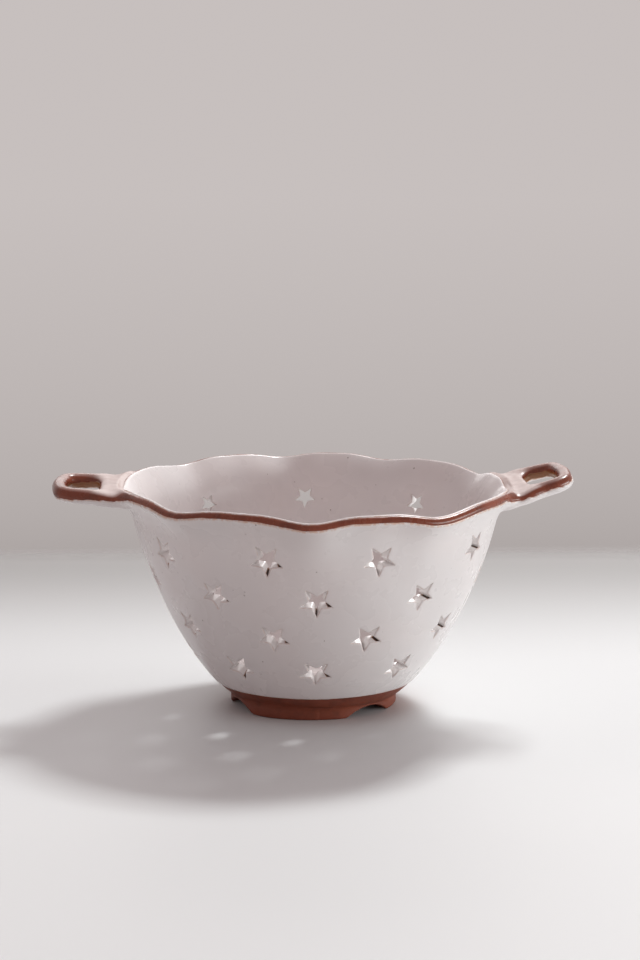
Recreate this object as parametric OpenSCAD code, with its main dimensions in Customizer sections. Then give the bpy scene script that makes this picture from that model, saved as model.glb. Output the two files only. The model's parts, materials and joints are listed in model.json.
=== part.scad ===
// Berry colander bowl: hand-pressed terracotta, pierced with stars, with white glaze
// coats that leave the lip, the foot and the upper part of the handles bare.
// The table is z = 0. The handles lie along X, a little behind it, and -Y is the front.

/* [Bowl] */
// Outer radius of the clay lip, halfway between a dip and a hump
rim_r = 79; // [70:0.5:95]
// Height of the lip's crest above the table
rim_h = 89; // [75:0.5:110]
// Radius of the flat underside, where the wall springs from it
base_r = 34.4; // [34:0.1:40]
// Thickness of the clay wall
clay_t = 3.8; // [3:0.1:5]
// Thickness of the clay floor
floor_t = 4.6; // [3.5:0.1:7]
// Radius scale of the soft corner between the floor and the wall inside
floor_blend = 1.2; // [0.6:0.1:2]
// How far the lip rolls outward from the line of the wall
lip_roll = 4.3; // [1:0.1:5]

/* [Glaze] */
// Thickness of the white glaze coats
glaze_t = 0.4; // [0.3:0.05:0.6]

/* [Lip wave] */
// How far each dip is pressed down below the humps
dip_drop = 2.2; // [0:0.1:4]
// How far the front and back dips are pressed outward past the humps
dip_reach = 3; // [0:0.1:4]

/* [Star holes] */
// Point radius of a star where it opens on the outside
star_r = 7; // [4.5:0.1:7.8]
// Point radius of the same star where it opens on the inside
star_inside_r = 4.5; // [3:0.1:5.5]
// Star holes in each row
stars_per_row = 9; // [6:1:9]

/* [Drain holes] */
// Diameter of the round holes in the floor
drain_d = 5; // [3:0.1:6]
// Radius of the ring of drain holes round the middle one
drain_ring_r = 15; // [9:0.5:18]
// Drain holes in that ring
drain_count = 6; // [4:1:8]

/* [Foot] */
// Height of the foot ring
foot_h = 5; // [4.8:0.1:9]
// Outer radius of the foot ring where it meets the bowl
foot_top_r = 34.1; // [31:0.1:34.4]
// How far the foot ring draws in towards the table
foot_draft = 0.4; // [0:0.1:2.5]
// Width of the foot ring's flat standing band and its two rounded edges
foot_w = 6.4; // [5:0.1:8]
// Radius of the foot ring's rounded lower edges
foot_edge_r = 0.9; // [0.6:0.1:2]
// Width at the table of each arched drain gap in the foot ring
arch_w = 22; // [14:0.5:28]
// Height of each arched drain gap
arch_h = 4; // [3:0.1:4.6]

/* [Handles] */
// How far the left handle reaches out from the rim, measured along the handle
left_handle_l = 26.9; // [20:0.1:34]
// The same for the right handle
right_handle_l = 26; // [20:0.1:34]
// Turn of each handle from the front, in degrees
handle_turn = 91.6; // [88:0.1:93]
// Width of each handle outside the rim
handle_w = 38.4; // [32:0.1:46]
// Thickness of a handle's bar from top to bottom
bar_t = 5.8; // [4.5:0.1:8]
// Width of a handle's two side bars
bar_w = 6.8; // [5.6:0.1:9]
// Width of a handle's end bar
end_bar_w = 5.6; // [4:0.1:7]
// Width of the web between a handle's slot and the bowl
web_w = 9; // [7:0.1:11]
// How far a handle's top stands above the mean crest where it meets the rim
handle_lift = 0.5; // [0:0.1:1]
// Upward tilt of the left handle, in degrees
left_tilt = 3.6; // [0:0.1:18]
// Upward tilt of the right handle, in degrees
right_tilt = 15.2; // [0:0.1:18]
// Lean of both handles towards the front, in degrees
handle_lean = 1.8; // [0:0.1:4]

/* [Hidden] */

clay_color = [0.42, 0.19, 0.13];
glaze_color = [0.87, 0.84, 0.82];

// Facets round the bowl, and steps over its lip
around = 72;
lip_steps = 3;
bead_fn = 12;
hole_fn = 16;
curve_fn = 64;

// The wall's outer line is one cubic curve. Its two inner control points are shares of
// the way out from base_r and of the way up from foot_h.
wall_bend_shares = [[0.222, 0.057], [0.858, 0.505]];
// Share of the wall's line at which the lip starts to roll out, and the wave to grow
roll_from_share = 0.916;
wave_from_share = 0.7;
// Rows of facets up the wall's line. The outer glaze starts at one of them, above the foot.
row_shares = [0, 0.09, 0.17, 0.28, 0.4, 0.52, 0.64, 0.75, 0.85, 0.93, 0.97, 1];
glaze_foot_row = 2;
// Step along the wall's line that its slope is taken over
slope_step_share = 0.002;

// Turns of the lip's dips from the front, as shares of a full turn. The last repeats the first.
dip_turn_shares = [-0.382, -0.25, -0.131, -0.014, 0.092, 0.25, 0.318, 0.428, 0.517, 0.618];
// The humps are broad and the dips are narrow
dip_sharpness = 4;
// Mean of the dips over the whole lip, so that the wave keeps rim_r and rim_h
dip_mean_share = 0.375;

// Height of each row of stars, as a share of the way from the table to the crest
star_row_shares = [0.801, 0.617, 0.436, 0.262];
// Turn of each row's first star, as a share of a full turn, counted from the front
star_start_shares = [-0.163, -0.212, -0.163, -0.108];
// How far each star is off its even place, as shares of the step between two stars
star_drift_shares = [
    [0, 0, -0.12, -0.125, -0.12, -0.12, -0.04, -0.08, 0],
    [0, -0.06, -0.17, -0.23, -0.19, -0.15, -0.12, -0.08, -0.04],
    [0, -0.01, -0.13, -0.20, -0.17, -0.13, -0.10, -0.07, -0.03],
    [0, -0.10, -0.10, -0.09, -0.08, -0.06, -0.05, -0.03, -0.02]];
// The first star of the top row was cut a little lower than the rest, as a share of star_r
low_star_share = 0.37;
// Radius of a star's notches as a share of the radius of its points
star_notch_share = 0.43;
star_points = 5;
star_point_turn = 360 / star_points;

// Turns of the foot ring's arches, as shares of a full turn from the front
arch_turn_shares = [0.108, 0.465, 0.823];

// The handle's bar from the rim to the middle of its end: how far out, as a share of
// the handle's length, and how far to the side, as a share of half of handle_w
bar_path_shares = [[-0.14, 1.06], [0.10, 0.89], [0.42, 0.82], [0.68, 0.79], [0.835, 0.68],
    [0.88, 0.34], [0.905, 0]];
// Width of the bar at each of those places, from 0 for bar_w to 1 for end_bar_w
bar_end_shares = [0, 0, 0, 0, 0.5, 1, 1];
// Share of a handle's thickness, from below, that the dipped glaze reaches up its side
dip_line_share = 0.36;

// Overrun of every cut
cut_over = 1.5;

wall_all = clay_t + 2 * glaze_t;
lip_r = clay_t / 2;
floor_top = foot_h + floor_t;
wall_foot = [base_r, foot_h];
// Lean of the wall at the lip, which sets how far its top lies below the crest
lip_lean = atan2(
    3 * (1 - wall_bend_shares[1][0]) * (rim_r - lip_roll - base_r) + 2 * lip_roll / (1 - roll_from_share),
    3 * (1 - wall_bend_shares[1][1]) * (rim_h - lip_r - foot_h));
wall_top = [rim_r - lip_roll, rim_h - lip_r * (1 + sin(lip_lean))];
foot_r = foot_top_r - foot_draft;
foot_inner_r = foot_r - foot_w;

// A place at radius r and height z, at a turn from the front towards the right
function at_turn(r, z, turn) = [r * sin(turn), -r * cos(turn), z];

// The clay wall's outer line, from t = 0 at the base to t = 1 at the lip, as [r, z]
function wall_bend(k) = [
    wall_foot[0] + wall_bend_shares[k][0] * (wall_top[0] - wall_foot[0]),
    wall_foot[1] + wall_bend_shares[k][1] * (wall_top[1] - wall_foot[1])];
function roll(t) = pow(max(0, (t - roll_from_share) / (1 - roll_from_share)), 2);
function wall_line(t) = pow(1 - t, 3) * wall_foot + 3 * pow(1 - t, 2) * t * wall_bend(0)
    + 3 * (1 - t) * pow(t, 2) * wall_bend(1) + pow(t, 3) * wall_top + [lip_roll * roll(t), 0];
function wall_slope(t) = wall_line(t + slope_step_share) - wall_line(t - slope_step_share);
function wall_out(t) = let (s = wall_slope(t)) [s[1], -s[0]] / norm(s);

// How much of the lip's wave a place on the wall takes
function wave_share(t) = pow(max(0, (t - wave_from_share) / (1 - wave_from_share)), 2);

// The share of the wall's line that lies at a height, found by halving
function share_at(z, low = 0, high = 1, left = 16) = let (mid = (low + high) / 2)
    left == 0 ? mid
    : wall_line(mid)[1] < z ? share_at(z, mid, high, left - 1)
    : share_at(z, low, mid, left - 1);

// One place of a section, as [r, z, wave share], at a depth inside the clay's outer face
function wall_place(t, depth) = let (p = wall_line(t) - depth * wall_out(t)) [p[0], p[1], wave_share(t)];
// The same on the inside, settled softly onto a floor at height z
function settled(p, z) = [p[0], z + floor_blend * ln(1 + exp((p[1] - z) / floor_blend)), p[2]];

// The rows of the outer glaze, which ends where the lip starts
glazed_rows = [for (k = [glaze_foot_row:len(row_shares) - 1]) row_shares[k]];
function backwards(list) = [for (k = [len(list) - 1:-1:0]) list[k]];
function outer_side(depth, shares) = [for (t = shares) wall_place(t, depth)];
function inner_side(cover) = [for (t = row_shares)
    settled(wall_place(t, clay_t + cover), floor_top + cover)];

// The lip is a half round over the wall's top
lip_middle = wall_line(1) - lip_r * wall_out(1);
lip_start = atan2(wall_out(1)[1], wall_out(1)[0]);
function lip_place(angle, r) = [lip_middle[0] + r * cos(angle), lip_middle[1] + r * sin(angle), 1];
// Its outer and inner quarters, from the wall to the crest, without the places on the wall
function lip_outside(r) = [for (k = [1:lip_steps]) lip_place(lip_start + (90 - lip_start) * k / lip_steps, r)];
function lip_inside(r) = [for (k = [1:lip_steps])
    lip_place(lip_start + 180 - (90 + lip_start) * k / lip_steps, r)];

// How deep in a dip a turn of the lip is: 1 in the middle of a dip, 0 between two
function dip(turn) = let (
        whole = turn / 360 - floor(turn / 360 - dip_turn_shares[0]),
        k = [for (i = [0:len(dip_turn_shares) - 2]) if (whole >= dip_turn_shares[i]) i],
        i = k[len(k) - 1],
        s = (whole - dip_turn_shares[i]) / (dip_turn_shares[i + 1] - dip_turn_shares[i]))
    pow(cos(180 * s), dip_sharpness);
// The handles hold the lip to its circle, so the outward press fades towards them
function waved(p, turn) = let (d = p[2] * (dip(turn) - dip_mean_share))
    at_turn(p[0] + dip_reach * d * pow(cos(turn), 2), p[1] - dip_drop * d, turn);

// The facets between two rings of places. Their diagonals lean the same way whichever way
// the section runs, so that the clay and the coat on it share their facets.
function ring_place(k, j) = k * around + j % around;
function band(k, next, climbs) = [for (j = [0:around - 1], half = [0, 1])
    let (a = ring_place(k, j), b = ring_place(next, j), c = ring_place(next, j + 1), d = ring_place(k, j + 1))
    climbs ? (half == 0 ? [a, b, c] : [a, c, d]) : (half == 0 ? [a, b, d] : [b, c, d])];
function rings(section) = [for (p = section, j = [0:around - 1]) waved(p, 360 * j / around)];

// A solid round the axis: its section runs from one place on the axis to another
module turned(section) {
    inner = [for (k = [1:len(section) - 2]) section[k]];
    last = len(inner) - 1;
    bottom = len(inner) * around;
    top = bottom + 1;
    ends = [at_turn(0, section[0][1], 0), at_turn(0, section[len(section) - 1][1], 0)];
    faces = concat(
        [for (k = [0:last - 1]) each band(k, k + 1, inner[k][1] < inner[k + 1][1])],
        [for (j = [0:around - 1]) [bottom, ring_place(0, j), ring_place(0, j + 1)]],
        [for (j = [0:around - 1]) [top, ring_place(last, j + 1), ring_place(last, j)]]);
    polyhedron(concat(rings(inner), ends), faces);
}

// A ring round the axis: its section is a closed loop
module turned_ring(loop) {
    faces = [for (k = [0:len(loop) - 1]) let (next = (k + 1) % len(loop))
        each band(k, next, loop[k][1] < loop[next][1])];
    polyhedron(rings(loop), faces);
}

// The clay of the bowl without its holes
module clay_form() turned(concat([[0, foot_h, 0]], outer_side(0, row_shares), lip_outside(lip_r),
    [for (k = [lip_steps - 2:-1:0]) lip_inside(lip_r)[k]], backwards(inner_side(0)), [[0, floor_top, 0]]));

// Everything inside the outer face with a cover on it, and above it inside the crest
module bowl_envelope(cover) {
    crest = lip_place(90, lip_r);
    above = [crest[0], rim_h + left_handle_l + right_handle_l, 1];
    turned(concat([[0, foot_h, 0]], outer_side(-cover, row_shares), lip_outside(lip_r + cover),
        [above], [[0, above[1], 0]]));
}

// A flat star with one point along -Y
module star_shape(r) {
    polygon([for (k = [0:2 * star_points - 1])
        let (reach = k % 2 == 0 ? r : r * star_notch_share, angle = k * star_point_turn / 2 - 90)
        [reach * cos(angle), reach * sin(angle)]]);
}

// A star cutter that narrows inwards: z = 0 is the glazed outer face, and +Z leads out
module star_cutter() {
    taper = (star_r - star_inside_r) / wall_all;
    inside_r = star_inside_r - taper * cut_over;
    outside_r = star_r + taper * cut_over;
    translate([0, 0, -wall_all - cut_over])
        linear_extrude(wall_all + 2 * cut_over, scale = outside_r / inside_r) star_shape(inside_r);
}

// All the star holes, square to the wall, each with one point down
module stars() {
    for (row = [0:len(star_row_shares) - 1], k = [0:stars_per_row - 1]) {
        drop = row == 0 && k == 0 ? low_star_share * star_r : 0;
        t = share_at(star_row_shares[row] * rim_h - drop);
        place = wall_place(t, -glaze_t);
        out = wall_out(t);
        turn = 360 * (star_start_shares[row] + (k + star_drift_shares[row][k]) / stars_per_row);
        translate(at_turn(place[0], place[1], turn)) rotate([0, 0, turn])
            rotate([90 - atan2(out[1], out[0]), 0, 0]) star_cutter();
    }
}

// The drain holes through the floor
module drains() {
    for (k = [0:drain_count]) rotate([0, 0, 360 * k / drain_count])
        translate([k == drain_count ? 0 : drain_ring_r, 0, foot_h - cut_over])
            cylinder(d = drain_d, h = floor_t + 2 * glaze_t + 2 * cut_over, $fn = hole_fn);
}

// One bead of a handle's bar, in the handle's own flat frame: +X leads out from the rim
module bead(place, width, grow) {
    translate([place[0], place[1], 0])
        scale([width + 2 * grow, width + 2 * grow, bar_t + 2 * grow]) sphere(d = 1, $fn = bead_fn);
}
module bar_bead(k, side, length, grow) {
    bead([bar_path_shares[k][0] * length, side * bar_path_shares[k][1] * handle_w / 2],
        bar_w + bar_end_shares[k] * (end_bar_w - bar_w), grow);
}

// A handle's loop of bar and its web, before the bowl is cut away
module handle_loop(length, grow) {
    for (side = [-1, 1], k = [0:len(bar_path_shares) - 2]) hull() {
        bar_bead(k, side, length, grow);
        bar_bead(k + 1, side, length, grow);
    }
    hull() for (side = [-1, 1])
        bead([(web_w - lip_r) / 2, side * (handle_w - bar_w) / 2], web_w, grow);
}

// A handle's place at the rim
module handle_place(side, tilt) {
    rotate([0, 0, side * handle_turn - 90]) translate([rim_r, 0, rim_h + handle_lift - bar_t / 2])
        rotate([0, -tilt, 0]) rotate([side * handle_lean, 0, 0]) children();
}
module left_handle_form(grow) handle_place(-1, left_tilt) handle_loop(left_handle_l, grow);
module right_handle_form(grow) handle_place(1, right_tilt) handle_loop(right_handle_l, grow);

// What the dipped glaze reaches of a handle: all that lies below its line
module dipped() {
    block = 2 * (left_handle_l + right_handle_l + handle_w);
    translate([-block / 2, -block / 2, bar_t * (dip_line_share - 0.5) - block]) cube(block);
}

module bowl_body() color(clay_color) difference() {
    clay_form();
    stars();
    drains();
}

module foot_ring() color(clay_color) difference() {
    rotate_extrude($fn = curve_fn) {
        translate([foot_inner_r + foot_edge_r, foot_edge_r]) circle(r = foot_edge_r, $fn = curve_fn);
        translate([foot_r - foot_edge_r, foot_edge_r]) circle(r = foot_edge_r, $fn = curve_fn);
        polygon([[foot_inner_r + foot_edge_r, 0], [foot_r - foot_edge_r, 0], [foot_r, foot_edge_r],
            [foot_top_r, foot_h], [foot_inner_r, foot_h], [foot_inner_r, foot_edge_r]]);
    }
    arch_r = (pow(arch_w / 2, 2) + pow(arch_h, 2)) / (2 * arch_h);
    for (turn = arch_turn_shares) rotate([0, 0, 360 * turn])
        translate([0, 0, arch_h - arch_r]) rotate([90, 0, 0])
            cylinder(r = arch_r, h = foot_top_r + cut_over, $fn = curve_fn);
}

module left_handle() color(clay_color) difference() {
    left_handle_form(0);
    bowl_envelope(0);
}

module right_handle() color(clay_color) difference() {
    right_handle_form(0);
    bowl_envelope(0);
}

module outer_glaze() color(glaze_color) difference() {
    turned_ring(concat(outer_side(-glaze_t, glazed_rows), backwards(outer_side(0, glazed_rows))));
    stars();
    left_handle_form(0);
    right_handle_form(0);
}

module inner_glaze() color(glaze_color) difference() {
    turned(concat([[0, floor_top, 0]], inner_side(0), lip_inside(lip_r),
        backwards(lip_inside(lip_r + glaze_t)), backwards(inner_side(glaze_t)),
        [[0, floor_top + glaze_t, 0]]));
    stars();
    drains();
}

module left_handle_glaze() color(glaze_color) difference() {
    intersection() {
        left_handle_form(glaze_t);
        handle_place(-1, left_tilt) dipped();
    }
    left_handle_form(0);
    bowl_envelope(glaze_t);
}

module right_handle_glaze() color(glaze_color) difference() {
    intersection() {
        right_handle_form(glaze_t);
        handle_place(1, right_tilt) dipped();
    }
    right_handle_form(0);
    bowl_envelope(glaze_t);
}

bowl_body();
foot_ring();
left_handle();
right_handle();
outer_glaze();
inner_glaze();
left_handle_glaze();
right_handle_glaze();
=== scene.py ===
import json
import math

import bpy
import numpy as np
from mathutils import Matrix, Vector, geometry

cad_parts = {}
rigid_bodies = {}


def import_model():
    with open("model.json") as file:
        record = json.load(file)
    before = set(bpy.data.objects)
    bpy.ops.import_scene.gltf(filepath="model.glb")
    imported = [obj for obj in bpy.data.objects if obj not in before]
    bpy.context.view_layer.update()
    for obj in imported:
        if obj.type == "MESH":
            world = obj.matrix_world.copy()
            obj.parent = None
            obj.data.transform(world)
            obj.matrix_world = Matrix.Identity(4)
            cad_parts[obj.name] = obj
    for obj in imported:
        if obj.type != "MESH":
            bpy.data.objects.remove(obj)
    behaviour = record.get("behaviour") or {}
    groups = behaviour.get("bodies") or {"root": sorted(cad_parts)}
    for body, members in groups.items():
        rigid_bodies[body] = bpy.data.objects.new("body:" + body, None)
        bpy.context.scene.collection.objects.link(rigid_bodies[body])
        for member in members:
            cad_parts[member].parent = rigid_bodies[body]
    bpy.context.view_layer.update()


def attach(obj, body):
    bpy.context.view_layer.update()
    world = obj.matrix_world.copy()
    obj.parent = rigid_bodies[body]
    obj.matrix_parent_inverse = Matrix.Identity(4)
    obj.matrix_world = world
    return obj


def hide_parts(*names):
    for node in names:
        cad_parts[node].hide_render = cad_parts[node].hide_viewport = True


bl_info = {
    "name": "Berry Colander Bowl",
    "version": (1, 0, 0),
    "blender": (4, 5, 0),
    "location": "3D Viewport > Sidebar > Colander",
    "description": "Terracotta colander bowl with star holes and white glaze, built on its packed solids",
    "category": "Object",
}

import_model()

# Lengths are in millimetres until a mesh is made, and turns in radians from the front towards the right
MM = 0.001
TURN = 2 * math.pi

# The wall's outer line and its lip, as the solids have them
WALL_BENDS = ((0.222, 0.057), (0.858, 0.505))
ROLL_FROM = 0.916
WAVE_FROM = 0.7
LIP_ROLL = 4.3
# Where the lip dips, in whole turns
DIP_TURNS = np.array([-0.382, -0.25, -0.131, -0.014, 0.092, 0.25, 0.318, 0.428, 0.517, 0.618])
DIP_SHARPNESS = 4
DIP_MEAN = 0.375
FLOOR_BLEND = 1.2

# Points along the section: up each side of the wall, and over the lip or across the floor
WALL_POINTS = 401
ROUND_POINTS = 81
SLOPE_STEP = 0.002

# The wall's thumb-pressed unevenness: depth, waves round the bowl, height of one radian, and start
DENTS = ((0.17, 3, 21, 1.0), (0.13, 5, -17, 2.1), (0.09, 9, 12, 0.4), (0.05, 14, -9, 0.0))
# A hand-dipped line: waves round the bowl, and size
RAGS = ((7, 0.5), (13, 0.42), (23, 0.35), (41, 0.3), (67, 0.22), (101, 0.18))

# The drops of the glaze's top line beside the handles: size, turn and width
TOP_DROPS = ((1.9, -1.6, 0.3), (0.8, 1.6, 0.26))

# The stars: height of each row as a share of the rim's, turn of its first star, and drifts
STAR_ROWS = (
    (0.801, -0.163, (0, 0, -0.12, -0.125, -0.12, -0.12, -0.04, -0.08, 0)),
    (0.617, -0.212, (0, -0.06, -0.17, -0.23, -0.19, -0.15, -0.12, -0.08, -0.04)),
    (0.436, -0.163, (0, -0.01, -0.13, -0.20, -0.17, -0.13, -0.10, -0.07, -0.03)),
    (0.262, -0.108, (0, -0.10, -0.10, -0.09, -0.08, -0.06, -0.05, -0.03, -0.02)),
)
# How much lower the first star of the top row was cut
LOW_STAR = 0.37 * 7.0
STAR_NOTCH = 0.43
STAR_CORNERS = 10
# How far from its corner a star's point, or its notch, starts to bend
POINT_CUT = 0.45
NOTCH_CUT = 0.75
CORNER_POINTS = 8
STAR_OUTLINE = STAR_CORNERS * CORNER_POINTS
# Corners that may stay bare of glaze, and are painted far darker than the clay as painted shade deep in the
# notch: the corner, its outline points from and to, and the chance
BARE_AND_SHADED_CORNERS = ((0, -1, 3, 0.85), (2, -1, 3, 0.7), (2, 3, 6, 0.3))
# Values of "thin", the coats' point attribute: 0 is sound glaze and 1 is as thin as it gets
# The mark for pooled glaze in the star holes, lightened as a painted highlight of their lit facets
POOLED_AND_LIT = -1.0
# The mark for bare clay deep in a star's points, darkened with painted shade
BARE_AND_SHADED = 3.0
EDGE_THIN = 0.55

# Columns of faces round the bowl, room kept round a cut star, and the nearest loose point to it
CLAY_COLUMNS = 480
COAT_COLUMNS = 640
STAR_MARGIN = 0.75
LOOSE_GAP = 0.42
CLAY_EDGE = 0.45
INNER_EDGE = 0.45

DRAINS_ROUND = 6
DRAIN_POINTS = 26
DISC_STEP = 1.9
CLAY_DRAIN = 2.75

# The foot ring: columns, whole turns of its arches, and its side above the edge as (out, height)
FOOT_COLUMNS = 540
ARCH_TURNS = (0.108, 0.465, 0.818)
ARCH_SOFT = 0.28
FOOT_SIDE = ((0.0, 2.2), (0.05, 3.4), (0.3, 4.4), (0.9, 5.3), (1.8, 6.2), (2.6, 7.0), (2.8, 7.8))
# How far the ring bulges, the middle of the bulge, and its width, in turns
FOOT_BULGE = 1.9
FOOT_BULGE_TURN = math.radians(322)
FOOT_BULGE_WIDE = 0.45

# A handle's bar from the rim to the middle of its end, in shares of its length and half width
BAR_PATH = (
    (-0.14, 1.06),
    (0.10, 0.89),
    (0.42, 0.82),
    (0.68, 0.79),
    (0.835, 0.68),
    (0.88, 0.34),
    (0.905, 0),
)
BAR_ENDS = (0, 0, 0, 0, 0.5, 1, 1)
BAR_ROUNDNESS = 2.2
PATH_POINTS = 90
PATH_SOFTENINGS = 14
# For the left handle, -1, and the right, 1: where the dipped glaze ends at the root and at the end, in
# shares of the bar's thickness, how much thinner the web is at the root, and the seed of its ragged line
DIP_LINES = {-1: (0.08, -0.38), 1: (-0.08, -0.05)}
ROOT_THINNING = {-1: 0.4, 1: 0.7}
DRIP_SEEDS = {-1: 21, 1: 34}
DRIPS = ((9.0, 0.1), (4.1, 0.13), (2.0, 0.13), (1.05, 0.1))
# The grid of distances from the lip, in radius and height
LIP_GRID = 0.3
LIP_MAP_R = (58, 92)
LIP_MAP_Z = (56, 97)
# How softly a handle's bar and web join, and how softly both melt into the lip: in the bowl's hollow,
# outside it, how much less underneath and how much more on top
PLAN_BLEND = 7.5
MELT_INSIDE = 0.3
MELT_OUTSIDE = 3.4
MELT_LESS_UNDER = 1.1
MELT_MORE_ON_TOP = 2.8
# The grid round a handle: its step, lowest corner, size (the first on top of the handle's length), and
# how often its points are then drawn to the surface
NET_STEP = 0.5
NET_CORNER = (-15.0, -37.0, -15.0)
NET_SIZE = (19, 74, 24)
NET_PASSES = 3
# How far from its bars a handle's own clay shows, before the bowl's clay takes over
HANDLE_REACH = 6.5

# The lamps: place, aim, size, watts and tint
LAMPS = {
    "window": ((0.811, 1.444, 2.004), (0, 0, 0.05), (0.48, 0.48), 46.0, (0.98, 1.0, 1.0)),
    "window_glow": ((0.1, 1.5, 0.62), (0, 0, 0.09), (1.2, 0.5), 3.5, (1.0, 0.99, 0.98)),
    "side_glow": ((1.50, -0.32, 0.175), (0, 0, 0.06), (1.3, 0.3), 13.0, (0.92, 1.0, 1.0)),
}
ROOM_TINT = (1.0, 0.85, 0.85)
ROOM_STRENGTH = 0.44
CAMERA_PLACE = (-0.0692, -1.0048, 0.2650)
CAMERA_HEADING = (0.0706, 0.9975, 0)
CAMERA_PITCH = math.radians(9.806)
CAMERA_ROLL = math.radians(0.534)
CAMERA_LENS = 94.95


def millimetres(name, text, value):
    return bpy.props.FloatProperty(
        name=name, description=text, default=value * MM, min=0.0, unit="LENGTH", precision=4
    )


def degrees(name, text, value):
    return bpy.props.FloatProperty(
        name=name, description=text, default=math.radians(value), subtype="ANGLE"
    )


def colour(name, text, value):
    return bpy.props.FloatVectorProperty(
        name=name, description=text, default=value, size=3, min=0.0, max=1.0, subtype="COLOR"
    )


class ColanderBowlSizes(bpy.types.PropertyGroup):
    """The bowl's own sizes"""

    rim_r: millimetres("Rim radius", "Outer radius of the lip, halfway between a dip and a hump", 78.85)
    rim_h: millimetres("Rim height", "Height of the lip's crest above the table", 89.0)
    base_r: millimetres("Base radius", "Radius of the flat underside", 34.4)
    clay_t: millimetres("Wall", "Thickness of the clay wall", 3.8)
    floor_t: millimetres("Floor", "Thickness of the clay floor", 4.6)
    dip_drop: millimetres("Dip drop", "How far each dip of the lip is pressed down", 2.2)
    dip_reach: millimetres("Dip reach", "How far the front and back dips are pressed outward", 2.8)
    glaze_t: millimetres("Glaze", "Thickness of the white glaze", 0.4)
    star_r: millimetres("Star radius", "Point radius of a star on the outside", 6.75)
    star_inside_r: millimetres("Star inside", "Point radius of a star on the inside", 4.3)
    star_edge_r: millimetres("Star edge", "Radius of the soft glazed edge round a star", 0.5)
    drain_d: millimetres("Drain holes", "Diameter of the drain holes in the floor", 5.0)
    drain_ring_r: millimetres("Drain ring", "Radius of the ring of drain holes", 15.0)


class ColanderFootSizes(bpy.types.PropertyGroup):
    """The foot ring's sizes"""

    foot_h: millimetres("Height", "Height of the foot ring", 5.0)
    foot_r: millimetres("Radius", "Outer radius of the foot ring at the table", 33.8)
    foot_w: millimetres("Width", "Width of the foot ring", 6.4)
    foot_edge_r: millimetres("Edge", "Radius of the ring's worn edges", 0.8)
    arch_w: millimetres("Arch width", "Width of each arched drain gap at the table", 22.0)
    arch_h: millimetres("Arch height", "Height of each arched drain gap", 3.9)


class ColanderHandleSizes(bpy.types.PropertyGroup):
    """The sizes of the two handles"""

    left_l: millimetres("Left reach", "How far the left handle reaches out from the rim", 26.9)
    right_l: millimetres("Right reach", "How far the right handle reaches out from the rim", 26.0)
    handle_w: millimetres("Width", "Width of each handle outside the rim", 38.4)
    bar_t: millimetres("Bar thickness", "Thickness of the handle's bar", 5.8)
    bar_w: millimetres("Bar width", "Width of the side bars", 6.8)
    end_bar_w: millimetres("End bar width", "Width of the end bar", 5.6)
    web_w: millimetres("Web width", "Width of the web between the slot and the bowl", 9.0)
    lift: millimetres("Lift", "How far a handle's top stands above the crest", 0.42)
    left_tilt: degrees("Left tilt", "Upward tilt of the left handle", 3.6)
    right_tilt: degrees("Right tilt", "Upward tilt of the right handle", 15.2)
    lean: degrees("Lean", "Lean of both handles towards the front", 1.8)
    turn: degrees("Turn", "Turn of each handle from the front", 91.6)


class ColanderFinishes(bpy.types.PropertyGroup):
    """The colours of the clay, the glaze and the stage"""

    clay: colour("Terracotta", "Main colour of the bare clay", (0.185, 0.040, 0.018))
    clay_light: colour("Terracotta, light", "Colour where the slip is thin and worn", (0.230, 0.055, 0.027))
    clay_dark: colour("Terracotta, dark", "Colour where the burnished slip is thick", (0.120, 0.026, 0.012))
    glaze: colour("Glaze", "Main colour of the white glaze", (0.735, 0.68, 0.67))
    glaze_cool: colour("Glaze, cool", "Colour of the cooler patches", (0.725, 0.68, 0.673))
    glaze_thin: colour("Glaze, thin", "Colour where the glaze runs thin over the clay", (0.60, 0.40, 0.31))
    # Pooled glaze in the stars, lightened as a painted highlight of the holes' lit facets
    glaze_pool_and_highlight: colour("Glaze, pooled", "Colour where the glaze pools in the stars", (0.88, 0.85, 0.84))
    # Bare clay deep in a star's points, painted far darker than the clay as painted shade
    bare_clay_and_shade: colour("Crevice", "Colour deep in a star's points, without glaze", (0.050, 0.027, 0.022))
    glaze_amber: colour("Glaze, amber", "Colour of the thin glaze inside the handles", (0.26, 0.105, 0.04))
    # A pale layer on the handles' tops: wiped glaze, lightened further as a painted sheen of the window's
    # reflection
    film_and_sheen: colour("Film", "Colour of the wiped film of glaze on the handles' tops", (0.60, 0.49, 0.46))
    speck: colour("Specks", "Colour of the specks in the glaze", (0.16, 0.10, 0.08))
    table: colour("Table", "Colour of the floor", (0.685, 0.70, 0.703))
    # A lighter floor in front: painted light that lifts the cast shadow there
    table_near_lit: colour("Table, near", "Colour of the floor in front", (0.755, 0.77, 0.77))
    # A darker floor towards its far edge: painted shade
    table_far_shade: colour("Table, far", "Colour of the floor towards its far edge", (0.29, 0.28, 0.275))
    room: colour("Room", "Colour behind the floor", (0.57, 0.525, 0.515))
    room_low: colour("Room, low", "Colour behind the floor's far edge", (0.36, 0.325, 0.315))


def in_mm(group, name):
    return getattr(group, name) / MM


def clamped(value):
    return np.clip(value, 0, 1)


def eased(share):
    return share ** 2 * (3 - 2 * share)


def hump(turn, middle, width):
    return np.exp(-(((turn - middle) / width) ** 2))


def smooth_least(a, b, soft):
    """The smaller of two distances, blended where they are within soft of each other."""
    h = np.maximum(soft - np.abs(a - b), 0) / soft
    return np.minimum(a, b) - h * h * soft / 4


def smooth_most(a, b, soft):
    return -smooth_least(-a, -b, soft)


def lengths_along(line):
    """Length along a line of points, at each of them."""
    return np.concatenate([[0], np.cumsum(np.linalg.norm(np.diff(line, axis=0), axis=1))])


def wave_share(t):
    """How much of the lip's wave reaches a place up the wall."""
    return np.maximum(0, (np.asarray(t) - WAVE_FROM) / (1 - WAVE_FROM)) ** 2


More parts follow.
